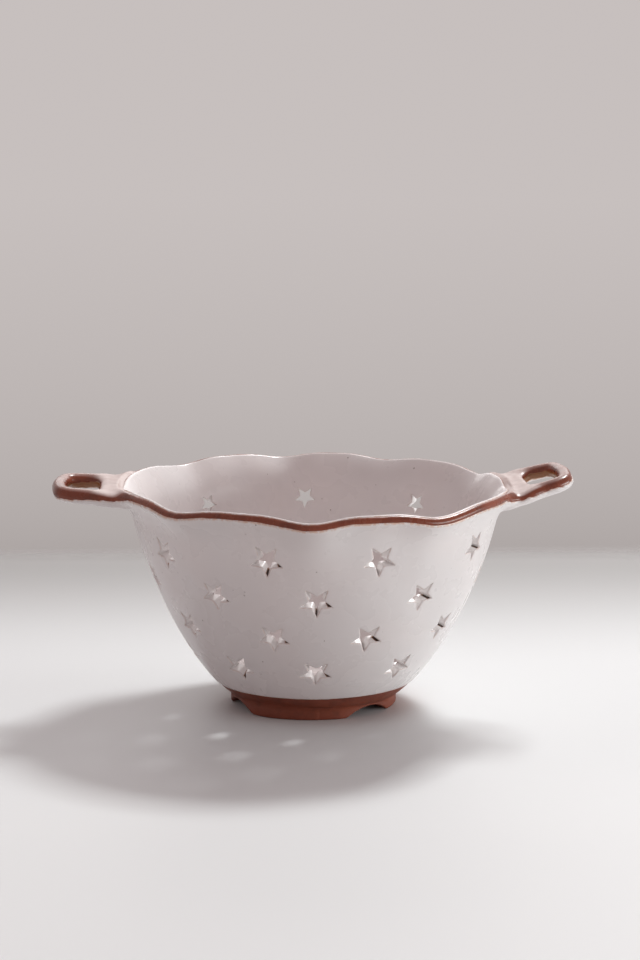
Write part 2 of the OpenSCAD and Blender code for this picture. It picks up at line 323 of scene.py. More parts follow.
class Section:
    """The bowl's clay section as one line, by a place q: 0 to 1 up the outer wall, 1 to 2 over the lip,
    2 to 3 down the inner wall, and 3 to 4 across the floor to the axis. t is q on the outer wall."""

    def __init__(self, scene):
        sizes = scene.colander_bowl
        self.rim_r = in_mm(sizes, "rim_r")
        self.rim_h = in_mm(sizes, "rim_h")
        self.base_r = in_mm(sizes, "base_r")
        self.clay = in_mm(sizes, "clay_t")
        self.glaze = in_mm(sizes, "glaze_t")
        self.drop = in_mm(sizes, "dip_drop")
        self.reach = in_mm(sizes, "dip_reach")
        self.base_h = in_mm(scene.colander_foot, "foot_h")
        self.floor = self.base_h + in_mm(sizes, "floor_t")
        self.lip_r = self.clay / 2
        # How the wall leans at its top, which sets where the lip's round starts
        across, high = WALL_BENDS[1]
        rise = 3 * (1 - high) * (self.rim_h - self.lip_r - self.base_h)
        run = 3 * (1 - across) * (self.rim_r - LIP_ROLL - self.base_r) + 2 * LIP_ROLL / (1 - ROLL_FROM)
        lean = math.atan2(run, rise)
        self.foot = np.array([self.base_r, self.base_h])
        self.top = np.array([self.rim_r - LIP_ROLL, self.rim_h - self.lip_r * (1 + math.sin(lean))])
        self.sample()

    def wall_line(self, t):
        """The outer wall's line, as radius and height."""
        t = np.asarray(t, float)[..., None]
        bends = [self.foot + np.array(b) * (self.top - self.foot) for b in WALL_BENDS]
        line = (1 - t) ** 3 * self.foot + 3 * (1 - t) ** 2 * t * bends[0] + 3 * (1 - t) * t ** 2 * bends[1]
        line = line + t ** 3 * self.top
        line[..., 0] += LIP_ROLL * np.maximum(0, (t[..., 0] - ROLL_FROM) / (1 - ROLL_FROM)) ** 2
        return line

    def wall_out(self, t):
        """The direction square to the outer wall."""
        step = self.wall_line(np.asarray(t) + SLOPE_STEP) - self.wall_line(np.asarray(t) - SLOPE_STEP)
        out = np.stack([step[..., 1], -step[..., 0]], -1)
        return out / np.linalg.norm(out, axis=-1)[..., None]

    def settled(self, p):
        """Places of the inner wall, raised softly to the floor."""
        z = self.floor + FLOOR_BLEND * np.log1p(np.exp((p[..., 1] - self.floor) / FLOOR_BLEND))
        return np.stack([p[..., 0], z], -1)

    def sample(self):
        t = np.linspace(0, 1, WALL_POINTS)
        share = np.linspace(0, 1, ROUND_POINTS)
        outer = self.wall_line(t)
        out = self.wall_out(1.0)
        middle = self.wall_line(1.0) - self.lip_r * out
        angle = math.atan2(out[1], out[0]) + math.pi * share
        lip = middle + self.lip_r * np.stack([np.cos(angle), np.sin(angle)], -1)
        inner = self.settled(self.wall_line(t[::-1]) - self.clay * self.wall_out(t[::-1]))
        last = inner[-1]
        rise = self.floor + (last[1] - self.floor) * (1 - share) ** 4
        floor = np.stack([last[0] * (1 - share), rise], -1)
        self.q = np.concatenate([t, 1 + share[1:], 2 + t[1:], 3 + share[1:]])
        line = np.concatenate([outer, lip[1:], inner[1:], floor[1:]])
        wave = wave_share(t)
        whole, none = np.ones(ROUND_POINTS - 1), np.zeros(ROUND_POINTS - 1)
        self.wave = np.concatenate([wave, whole, wave[::-1][1:], none])
        self.r, self.z = line[:, 0], line[:, 1]
        along = np.gradient(line, axis=0)
        along[0] = line[1] - line[0]
        out = np.stack([along[:, 1], -along[:, 0]], -1)
        out /= np.linalg.norm(out, axis=1)[:, None]
        self.out_r, self.out_z = out[:, 0], out[:, 1]
        self.s = lengths_along(line)

    def length(self, q):
        return np.interp(q, self.q, self.s)

    def past(self, q, distance):
        """The place a distance past q along the section."""
        return float(np.interp(self.length(q) + distance, self.s, self.q))

    def t_at(self, z):
        return float(np.interp(z, self.z[:WALL_POINTS], self.q[:WALL_POINTS]))

    def dips(self, turn):
        """Depth of the lip's dips, from 0 on a hump to 1 in a dip."""
        whole = np.asarray(turn, float) / TURN
        whole = whole - np.floor(whole - DIP_TURNS[0])
        i = np.clip(np.searchsorted(DIP_TURNS, whole, side="right") - 1, 0, len(DIP_TURNS) - 2)
        s = (whole - DIP_TURNS[i]) / (DIP_TURNS[i + 1] - DIP_TURNS[i])
        return np.abs(np.cos(math.pi * s)) ** DIP_SHARPNESS

    def waved(self, r, z, wave, turn):
        """Places at radius r and height z with the lip's wave and the wall's thumb-pressed unevenness."""
        d = wave * (self.dips(turn) - DIP_MEAN)
        # The unevenness fades out towards the floor and the lip
        press = clamped((z - 16) / 30) * clamped((r - 30) / 12) * np.clip(1.1 - wave, 0.08, 1)
        dent = sum(size * np.sin(waves * turn + z / high + start) for size, waves, high, start in DENTS)
        r = r + self.reach * d * np.cos(turn) ** 2 + dent * press
        return np.stack([r * np.sin(turn), -r * np.cos(turn), z - self.drop * d], -1)

    def place(self, q, turn, off=0.0):
        """Places on the clay's surface at q, or off it by a cover."""
        r = np.interp(q, self.q, self.r) + off * np.interp(q, self.q, self.out_r)
        z = np.interp(q, self.q, self.z) + off * np.interp(q, self.q, self.out_z)
        return self.waved(r, z, np.interp(q, self.q, self.wave), turn)

    def deep(self, t, turn, depth):
        """Places in the thickness of the wall, at a depth under the clay's outer face."""
        p = self.wall_line(t) - depth * self.wall_out(t)
        return self.waved(p[..., 0], p[..., 1], wave_share(t), turn)


def ragged(turn, seed, size):
    """An uneven hand-dipped line round the bowl."""
    rng = np.random.default_rng(seed)
    line = np.zeros_like(turn)
    for waves, part in RAGS:
        line = line + part * np.sin(waves * turn + rng.uniform(0, TURN))
    return size * line


def glaze_top(section, turn):
    """Length along the section to the outer glaze's top line, which drops beside the handles."""
    drop = sum(size * hump(turn, middle, width) for size, middle, width in TOP_DROPS)
    return section.length(1.0) + 1.1 - 0.5 * np.sin(turn) - drop


def feathered(inside, full, soft):
    """Thickness of a coat at a distance inside its edge. It is round at the edge, and sinks under the
    clay past it."""
    rise = full * np.sqrt(1 - (1 - clamped(inside / soft)) ** 2)
    return np.where(inside > 0, rise, -0.25 * clamped(-inside / 0.5) - 0.02)


class Maker:
    """Collects points, faces and how thin the coat is at each point, then makes one object."""

    def __init__(self):
        self.points = []
        self.faces = []
        self.thin = []
        self.count = 0

    def add(self, places, thin=0.0):
        """Adds points and returns their numbers."""
        places = np.asarray(places, float).reshape(-1, 3)
        start = self.count
        self.points.append(places)
        self.thin.append(np.broadcast_to(np.asarray(thin, float).reshape(-1), (len(places),)))
        self.count += len(places)
        return np.arange(start, start + len(places))

    def quads(self, a, b, c, d):
        self.faces.append(np.stack([np.ravel(a), np.ravel(b), np.ravel(c), np.ravel(d)], 1))

    def triangles(self, faces):
        faces = np.asarray(faces, int).reshape(-1, 3)
        self.faces.append(np.concatenate([faces, faces[:, 2:]], 1))

    def loops(self, one, two):
        """Quads from one closed ring of points to the next."""
        self.quads(one, np.roll(one, -1), np.roll(two, -1), two)

    def make(self, name, material, sharp=40):
        points = np.concatenate(self.points) * MM
        faces = np.concatenate(self.faces)
        used = np.zeros(len(points), bool)
        used[faces.ravel()] = True
        faces = (np.cumsum(used) - 1)[faces]
        flat = [f[:3] if f[2] == f[3] else f for f in faces.tolist()]
        mesh = bpy.data.meshes.new(name)
        mesh.from_pydata(points[used].tolist(), [], flat)
        attribute = mesh.attributes.new("thin", "FLOAT", "POINT")
        attribute.data.foreach_set("value", np.concatenate(self.thin)[used].astype(np.float32))
        mesh.validate()
        mesh.polygons.foreach_set("use_smooth", np.ones(len(mesh.polygons), bool))
        mesh.set_sharp_from_angle(angle=math.radians(sharp))
        mesh.materials.append(material)
        piece = bpy.data.objects.new(name, mesh)
        bpy.context.scene.collection.objects.link(piece)
        return piece


def inside_outline(points, outline):
    """Which points lie inside a closed outline."""
    x, y = points[:, 0][:, None], points[:, 1][:, None]
    ax, ay = outline[:, 0], outline[:, 1]
    bx, by = np.roll(ax, -1), np.roll(ay, -1)
    rise = np.where(by == ay, 1e-12, by - ay)
    cross = ((ay > y) != (by > y)) & (x < (bx - ax) * (y - ay) / rise + ax)
    return cross.sum(1) % 2 == 1


def from_outline(points, outline):
    """Distance of points from a closed outline."""
    ab = np.roll(outline, -1, 0) - outline
    along = ((points[:, None] - outline) * ab).sum(2) / np.maximum((ab ** 2).sum(1), 1e-12)
    near = outline + clamped(along)[..., None] * ab
    return np.sqrt(((points[:, None] - near) ** 2).sum(2).min(1))


def fill(rim, holes, spare):
    """Triangles between a rim and its holes, over spare points, with every triangle anticlockwise."""
    points = np.concatenate([rim, *holes, spare]) if len(spare) else np.concatenate([rim, *holes])
    edges = []
    start = 0
    for loop in (rim, *holes):
        n = len(loop)
        edges += [(start + k, start + (k + 1) % n) for k in range(n)]
        start += n
    co, _, faces, origin, _, _ = geometry.delaunay_2d_cdt([Vector(p) for p in points], edges, [], 0, 1e-7)
    which = np.array([o[0] if o else -1 for o in origin])
    faces = np.array(faces)
    places = np.array([tuple(c) for c in co])
    middle = places[faces].mean(1)
    keep = inside_outline(middle, rim)
    for hole in holes:
        keep &= ~inside_outline(middle, hole)
    faces = faces[keep]
    a, b, c = places[faces[:, 0]], places[faces[:, 1]], places[faces[:, 2]]
    area = (b[:, 0] - a[:, 0]) * (c[:, 1] - a[:, 1]) - (b[:, 1] - a[:, 1]) * (c[:, 0] - a[:, 0])
    faces[area < 0] = faces[area < 0][:, ::-1]
    return which[faces[np.abs(area) > 1e-9]]


def star_outline(corners, grow=0.0):
    """A star with softened corners, from its ten sharp ones. grow moves every side outwards."""
    before = corners - np.roll(corners, 1, 0)
    after = np.roll(corners, -1, 0) - corners
    before /= np.linalg.norm(before, axis=1)[:, None]
    after /= np.linalg.norm(after, axis=1)[:, None]
    line = []
    out = []
    for k, corner in enumerate(corners):
        cut, next_cut = (POINT_CUT, NOTCH_CUT) if k % 2 == 0 else (NOTCH_CUT, POINT_CUT)
        side_before = np.array([before[k][1], -before[k][0]])
        side_after = np.array([after[k][1], -after[k][0]])
        bend_from = corner - before[k] * cut
        bend_to = corner + after[k] * cut
        for f in (0.0, 0.25, 0.5, 0.75, 1.0):
            side = (1 - f) * side_before + f * side_after
            line.append((1 - f) ** 2 * bend_from + 2 * f * (1 - f) * corner + f ** 2 * bend_to)
            out.append(side / np.linalg.norm(side))
        end = corners[(k + 1) % STAR_CORNERS] - after[k] * next_cut
        for f in (0.25, 0.5, 0.75):
            line.append((1 - f) * bend_to + f * end)
            out.append(side_after)
    return np.array(line) + grow * np.array(out)


class Star:
    """One hand-cut star hole: its place on the wall and its own uneven corners."""

    def __init__(self, section, row, k, sizes, rng):
        height, first, drift = STAR_ROWS[row]
        low = LOW_STAR if row == 0 and k == 0 else 0.0
        self.section = section
        self.t = section.t_at(height * section.rim_h - low)
        self.turn = TURN * (first + (k + drift[k]) / len(drift))
        self.outer_r = in_mm(sizes, "star_r")
        self.inner_r = in_mm(sizes, "star_inside_r")
        self.twist = math.radians(rng.uniform(-3.5, 3.5))
        self.size = rng.uniform(0.97, 1.03)
        self.uneven = rng.uniform(-0.035, 0.035, STAR_CORNERS)
        self.slant = rng.uniform(-0.22, 0.22, 2)
        out = section.wall_out(self.t)
        self.sink = 0.35 * out[1] / out[0]
        # The straight lining of every star takes pooled glaze with a painted highlight
        self.bare = np.full(STAR_OUTLINE, POOLED_AND_LIT)
        # Some corners of the points are bare clay, darkened with painted shade
        for corner, start, end, chance in BARE_AND_SHADED_CORNERS:
            if rng.uniform() < chance:
                self.bare[(np.arange(start, end) + CORNER_POINTS * corner) % STAR_OUTLINE] = BARE_AND_SHADED

    def corners(self, depth):
        """The ten corners at a depth under the clay's outer face, as sideways and upwards."""
        deep = depth + self.section.glaze
        share = deep / (self.section.clay + 2 * self.section.glaze)
        r = (self.outer_r + (self.inner_r - self.outer_r) * share) * self.size
        k = np.arange(STAR_CORNERS)
        angle = -math.pi / 2 + k * math.pi / 5 + self.twist
        reach = r * np.where(k % 2 == 0, 1.0, STAR_NOTCH) * (1 + self.uneven)
        shift = self.slant * share + np.array([0, self.sink * deep])
        return np.stack([reach * np.cos(angle), reach * np.sin(angle)], 1) + shift

    def on_wall(self, depth, grow):
        """The wall's t and turn of the softened outline's points at a depth."""
        s = self.section
        step = 0.004
        outline = star_outline(self.corners(depth), grow)
        p = s.wall_line(self.t) - depth * s.wall_out(self.t)
        up = s.wall_line(self.t + step) - depth * s.wall_out(self.t + step)
        down = s.wall_line(self.t - step) - depth * s.wall_out(self.t - step)
        pace = np.linalg.norm(up - down) / (2 * step)
        return self.t + outline[:, 1] / pace, self.turn + outline[:, 0] / p[0]


def all_stars(section, sizes):
    rng = np.random.default_rng(11)
    return [
        Star(section, row, k, sizes, rng)
        for row, (_, _, drifts) in enumerate(STAR_ROWS)
        for k in range(len(drifts))
    ]


class Sheet:
    """A sheet over the bowl's section between rows of q, which stars can be cut out of. cover and thin are
    functions of q and turn: how far the sheet stands off the clay, and how thin its glaze is."""

    def __init__(self, maker, section, rows, columns, cover, thin):
        self.maker = maker
        self.section = section
        self.rows = rows
        self.columns = columns
        self.cover = cover
        self.thin = thin
        q, turn = np.meshgrid(rows, np.arange(columns) * TURN / columns, indexing="ij")
        self.ids = self.add(q, turn).reshape(len(rows), columns)
        self.cut = np.zeros((len(rows) - 1, columns), bool)

    def add(self, q, turn):
        return self.maker.add(self.section.place(q, turn, self.cover(q, turn)), self.thin(q, turn))

    def cut_star(self, star, side, depth, grow):
        """Cuts a star out and returns the ring of points round it. side is 1 on the outer wall, where q
        is t, and -1 on the inner, where q is 3 - t."""
        section, rows = self.section, self.rows
        t, turn = star.on_wall(depth, grow)
        turn = turn[::side]
        q, middle_q = (t, star.t) if side > 0 else (3 - t[::side], 3 - star.t)
        pace = float(section.length(middle_q + 0.01) - section.length(middle_q - 0.01)) / 0.02
        radius = float(np.interp(middle_q, section.q, section.r))
        gap = TURN / self.columns
        i0 = int(np.searchsorted(rows, q.min() - STAR_MARGIN / pace) - 1)
        i1 = int(np.searchsorted(rows, q.max() + STAR_MARGIN / pace))
        j0 = int(math.floor((turn.min() - STAR_MARGIN / radius) / gap))
        j1 = int(math.ceil((turn.max() + STAR_MARGIN / radius) / gap))
        self.cut[i0:i1, np.arange(j0, j1) % self.columns] = True
        edge = [(i0, j) for j in range(j0, j1)] + [(i, j1) for i in range(i0, i1)]
        edge += [(i1, j) for j in range(j1, j0, -1)] + [(i, j0) for i in range(i1, i0, -1)]
        edge = np.array(edge)
        spare = np.array([(i, j) for i in range(i0 + 1, i1) for j in range(j0 + 1, j1)])

        def flat(q, turn):
            return np.stack([(turn - star.turn) * radius, (q - middle_q) * pace], -1)

        hole = flat(q, turn)
        loose = flat(rows[spare[:, 0]], spare[:, 1] * gap)
        keep = ~inside_outline(loose, hole) & (from_outline(loose, hole) > LOOSE_GAP)
        ring = self.add(q, turn)
        round_edge, within = (self.ids[cells[:, 0], cells[:, 1] % self.columns] for cells in (edge, spare))
        names = np.concatenate([round_edge, ring, within[keep]])
        self.maker.triangles(names[fill(flat(rows[edge[:, 0]], edge[:, 1] * gap), [hole], loose[keep])])
        return ring

    def close(self):
        """Fills the sheet round its cuts, and returns its first and last rows of points."""
        whole = ~self.cut
        right = np.roll(self.ids, -1, 1)
        self.maker.quads(self.ids[:-1][whole], right[:-1][whole], right[1:][whole], self.ids[1:][whole])
        return self.ids[0], self.ids[-1]


def line_hole(maker, section, star, ring, steps, side, edge_r, surface):
    """Lines a star hole inwards from its ring on a surface: round its soft edge, and then straight.
    steps are the depths of the straight part."""
    turns = []
    for angle in (22.5, 45, 67.5, 90):
        a = math.radians(angle)
        depth = surface + side * edge_r * (1 - math.cos(a))
        turns.append((depth, edge_r * (1 - math.sin(a)), EDGE_THIN * math.sin(2 * a)))
    # The straight part carries each star's marks: pooled glaze with a painted highlight, and bare clay with
    # painted shade
    turns += [(depth, 0.0, star.bare[::side]) for depth in steps]
    for depth, grow, thin in turns:
        t, turn = star.on_wall(depth, grow)
        new = maker.add(section.deep(t[::side], turn[::side], depth), thin)
        maker.loops(ring, new)
        ring = new


def glaze_sheet(maker, section, rows, inside, edge, stars, side, edge_r, steps):
    """A coat over rows of the section that lines the star holes too. inside is a function of q and turn,
    the distance inside the coat's edge. edge is how far the coat thickens, how far it stays thin, and
    how sharply that fades. Returns the last row of points."""
    soft, fade, power = edge
    surface = -section.glaze if side > 0 else section.clay + section.glaze

    def cover(q, turn):
        return feathered(inside(q, turn), section.glaze, soft)

    def thin(q, turn):
        return clamped(1 - inside(q, turn) / fade) ** power

    sheet = Sheet(maker, section, rows, COAT_COLUMNS, cover, thin)
    rings = [sheet.cut_star(star, side, surface, edge_r) for star in stars]
    _, last = sheet.close()
    for star, ring in zip(stars, rings, strict=True):
        line_hole(maker, section, star, ring, steps, side, edge_r, surface)
    return last


def row_places(section, spans):
    """Rows of q, at even steps of length within each span of (from q, to q, step)."""
    rows = []
    for low, high, step in spans:
        a, b = section.length(low), section.length(high)
        n = max(2, int(round((b - a) / step)))
        rows += list(np.interp(np.linspace(a, b, n, endpoint=False), section.s, section.q))
    rows.append(spans[-1][1])
    return np.array(rows)


def drain_places(sizes):
    ring_r = in_mm(sizes, "drain_ring_r")
    angles = [k * math.pi / 3 for k in range(DRAINS_ROUND)]
    return [(0.0, 0.0)] + [(ring_r * math.cos(a), ring_r * math.sin(a)) for a in angles]


def drain_outline(middle, r):
    k = np.arange(DRAIN_POINTS) * TURN / DRAIN_POINTS
    return np.stack([middle[0] + r * np.cos(k), middle[1] + r * np.sin(k)], 1)


def flat_at(z):
    """A level for a disc that is flat."""
    return lambda x, y: np.full_like(x, z)


def drained_disc(maker, rim, level, sizes, hole_r, up):
    """A disc inside a ring of points, with the drain holes cut out. level gives its height at x and y.
    Returns the ring of points round each drain hole."""
    around = np.concatenate(maker.points)[rim][:, :2]
    radius = float(np.hypot(around[:, 0], around[:, 1]).min())
    holes = [drain_outline(p, hole_r) for p in drain_places(sizes)]
    x, y = np.meshgrid(np.arange(-40, 40, DISC_STEP), np.arange(-40, 40, DISC_STEP * 0.866), indexing="ij")
    x = x + (np.arange(y.shape[1]) % 2) * DISC_STEP / 2
    spare = np.stack([x.ravel(), y.ravel()], 1)
    free = np.hypot(spare[:, 0], spare[:, 1]) < radius - 1.2
    for hole in holes:
        free &= ~inside_outline(spare, hole) & (from_outline(spare, hole) > 0.8)
    spare = spare[free]
    *rings, inner = [maker.add(np.column_stack([p, level(p[:, 0], p[:, 1])])) for p in (*holes, spare)]
    faces = np.concatenate([rim, *rings, inner])[fill(around, holes, spare)]
    maker.triangles(faces if up else faces[:, ::-1])
    return rings


def line_drains(maker, rings, sizes, steps, up):
    """Lines the drain holes from a surface that faces up, or down. steps are the radius and height of
    each ring of points."""
    for last, middle in zip(rings, drain_places(sizes), strict=True):
        for r, z in steps:
            outline = drain_outline(middle, r)
            new = maker.add(np.column_stack([outline, np.full(DRAIN_POINTS, z)]))
            if up:
                maker.loops(last, new)
            else:
                maker.quads(last, new, np.roll(new, -1), np.roll(last, -1))
            last = new


def make_bowl_clay(section, sizes, stars, material):
    maker = Maker()

    def bare(q, turn):
        return np.zeros_like(q)

    rows = row_places(section, [
        (0.0, 0.3, 0.9),
        (0.3, 0.93, 2.0),
        (0.93, 1.0, 0.6),
        (1.0, 2.0, 0.25),
        (2.0, 2.08, 0.6),
        (2.08, 2.9, 2.0),
        (2.9, section.past(3, 5), 1.5),
    ])
    outer_rows = rows[rows <= 0.975]
    lip_rows = rows[(rows >= outer_rows[-1]) & (rows <= 2.03)]
    inner_rows = rows[rows >= lip_rows[-1]]
    outer = Sheet(maker, section, outer_rows, CLAY_COLUMNS, bare, bare)
    outer_rings = [outer.cut_star(star, 1, 0.0, CLAY_EDGE) for star in stars]
    low, _ = outer.close()
    Sheet(maker, section, lip_rows, CLAY_COLUMNS, bare, bare).close()
    inner = Sheet(maker, section, inner_rows, CLAY_COLUMNS, bare, bare)
    inner_rings = [inner.cut_star(star, -1, section.clay, CLAY_EDGE) for star in stars]
    _, high = inner.close()
    for one, two in zip(outer_rings, inner_rings, strict=True):
        maker.loops(one, two[::-1])
    base = section.base_h
    rings = drained_disc(maker, low, flat_at(base), sizes, CLAY_DRAIN + 0.35, False)
    steps = ((CLAY_DRAIN + 0.1, base + 0.12), (CLAY_DRAIN, base + 0.45), (CLAY_DRAIN, section.floor))
    line_drains(maker, rings, sizes, steps, False)
    drained_disc(maker, high, flat_at(section.floor), sizes, CLAY_DRAIN, True)
    return maker.make("bowl_clay", material)


def make_outer_coat(section, sizes, stars, material):
    maker = Maker()

    def inside(q, turn):
        s = section.length(q)
        top = glaze_top(section, (turn + math.pi) % TURN - math.pi) + ragged(turn, 3, 0.14)
        foot_z = 10.3 + 0.55 * np.sin(turn + 0.3) + ragged(turn, 5, 0.08)
        foot = np.interp(foot_z, section.z[:WALL_POINTS], section.s[:WALL_POINTS])
        return np.minimum(top - s, s - foot)

    low_q = section.t_at(10.0)
    rows = row_places(section, [
        (section.past(low_q, -2.0), section.past(low_q, 2.2), 0.32),
        (section.past(low_q, 2.2), 0.955, 1.15),
        (0.955, section.past(1.0, 2.6), 0.3),
    ])
    edge_r = in_mm(sizes, "star_edge_r")
    glaze_sheet(maker, section, rows, inside, (0.9, 1.5, 1.4), stars, 1, edge_r, (0.35, 1.0, 1.9))
    return maker.make("outer_coat", material)


def make_inner_coat(section, sizes, stars, material):
    maker = Maker()
    full = section.glaze
    out = section.wall_out(1.0)
    crest_q = 1.0 + (90 - math.degrees(math.atan2(out[1], out[0]))) / 180
    crest = float(section.length(crest_q))

    def inside(q, turn):
        return section.length(q) - (crest + 0.1 - 0.68 * np.cos(turn) + ragged(turn, 8, 0.1))

    def level(x, y):
        r = np.hypot(x, y)
        q = np.interp(-r, -section.r[-ROUND_POINTS:], section.q[-ROUND_POINTS:])
        return np.interp(q, section.q, section.z) + full

    rows = row_places(section, [
        (section.past(crest_q, -1.3), section.past(crest_q, 2.5), 0.28),
        (section.past(crest_q, 2.5), 2.9, 1.2),
        (2.9, section.past(3, 7), 1.2),
    ])
    last = glaze_sheet(maker, section, rows, inside, (0.7, 0.5, 1.5), stars, -1, INNER_EDGE, (2.8, 1.9))
    hole_r = in_mm(sizes, "drain_d") / 2
    rings = drained_disc(maker, last, level, sizes, hole_r + 0.6, True)
    top = section.floor + full
    shoulder = ((0.32, 0.08), (0.1, 0.28), (0, 0.6), (0, 3.6))
    steps = [(hole_r + out, top - down) for out, down in shoulder]
    line_drains(maker, rings, sizes, steps, True)
    return maker.make("inner_coat", material)


def make_foot(sizes, material):
    maker = Maker()
    turn = np.arange(FOOT_COLUMNS) * TURN / FOOT_COLUMNS
    foot_h = in_mm(sizes, "foot_h")
    foot_r = in_mm(sizes, "foot_r")
    edge = in_mm(sizes, "foot_edge_r")
    arch_w = in_mm(sizes, "arch_w")
    arch_h = in_mm(sizes, "arch_h")
    arch_r = ((arch_w / 2) ** 2 + arch_h ** 2) / (2 * arch_h)
    outer = foot_r + 0.16 * np.sin(2 * turn + 2.6) + 0.10 * np.sin(5 * turn + 0.8)
    outer = outer + FOOT_BULGE * hump(turn, FOOT_BULGE_TURN, FOOT_BULGE_WIDE)
    inner = foot_r - in_mm(sizes, "foot_w") + 0.15 * np.sin(3 * turn)

    def lift(r):
        """How far the ring's underside is cut up by its arches."""
        up = np.zeros(FOOT_COLUMNS)
        for share in ARCH_TURNS:
            off = (turn - share * TURN + math.pi) % TURN - math.pi
            flat = np.sqrt(np.maximum(arch_r ** 2 - (r * np.sin(off)) ** 2, 0)) + arch_h - arch_r
            flat = np.where(np.abs(off) < math.pi / 2, flat, -1)
            up = up + ARCH_SOFT * np.log1p(np.exp(np.clip(flat / ARCH_SOFT, -30, 30)))
        return np.minimum(up, foot_h - 0.45)

    quarter = [math.radians(a) for a in (90, 67.5, 45, 22.5, 0)]
    profile = [(inner, foot_h + 0.3), (inner, 3.0)]
    profile += [(inner + edge * (1 - math.sin(k)), edge * (1 - math.cos(k))) for k in quarter]
    profile += [(inner + edge + (outer - inner - 2 * edge) * f, 0.0) for f in (0.33, 0.67)]
    profile += [(outer - edge * (1 - math.cos(k)), edge * (1 - math.sin(k))) for k in quarter]
    profile += [(outer + out + (foot_r - outer) * max(0, (z - 3) / 5), z) for out, z in FOOT_SIDE]
    rings = []
    for r, z in profile:
        level = z + lift(r) * clamped(1 - z / foot_h)
        rings.append(maker.add(np.stack([r * np.sin(turn), -r * np.cos(turn), level], 1)))
    for one, two in zip(rings[:-1], rings[1:], strict=True):
        maker.loops(one, two)
    return maker.make("foot_clay", material, 50)


def taking(axis, start, stop):
    """An index that takes start to stop on one axis of a grid, and all of the others."""
    index = [slice(None)] * 3
    index[axis] = slice(start, stop)
    return tuple(index)


def surface_net(values, origin, step):
    """Points and quads of the surface where values, given on a grid, change sign."""
    inside = values < 0
    shape = tuple(n - 1 for n in values.shape)
    total = np.zeros(shape + (3,))
    count = np.zeros(shape)
    crossings = []
    for axis in range(3):
        low, high = taking(axis, 0, -1), taking(axis, 1, None)
        cross = inside[low] != inside[high]
        gap = np.where(cross, values[low] - values[high], 1.0)
        share = np.where(cross, values[low] / gap, 0.0)
        crossings.append((cross, inside[low]))
        a, b = (k for k in range(3) if k != axis)
        for da in (0, 1):
            for db in (0, 1):
                at_a, at_b = taking(a, da, da + shape[a]), taking(b, db, db + shape[b])
                hit = cross[at_a][at_b]
                count += hit
                total[..., axis] += np.where(hit, share[at_a][at_b], 0)
                total[..., a] += hit * da
                total[..., b] += hit * db
    live = count > 0
    number = np.full(shape, -1)
    number[live] = np.arange(live.sum())
    base = np.moveaxis(np.indices(shape), 0, -1).astype(float)
    places = (base[live] + total[live] / count[live][:, None]) * step + origin
    quads = []
    for axis, (cross, solid) in enumerate(crossings):
        u, v = (axis + 1) % 3, (axis + 2) % 3
        hit = np.argwhere(cross)
        for k in (u, v):
            hit = hit[(hit[:, k] > 0) & (hit[:, k] < shape[k])]
        cells = []
        for du, dv in ((-1, -1), (0, -1), (0, 0), (-1, 0)):
            cell = hit.copy()
            cell[:, u] += du
            cell[:, v] += dv
            cells.append(number[tuple(cell.T)])
        quad = np.stack(cells, 1)
        forward = solid[tuple(hit.T)]
        quad[~forward] = quad[~forward][:, ::-1]
        quads.append(quad)
    return places, np.concatenate(quads)


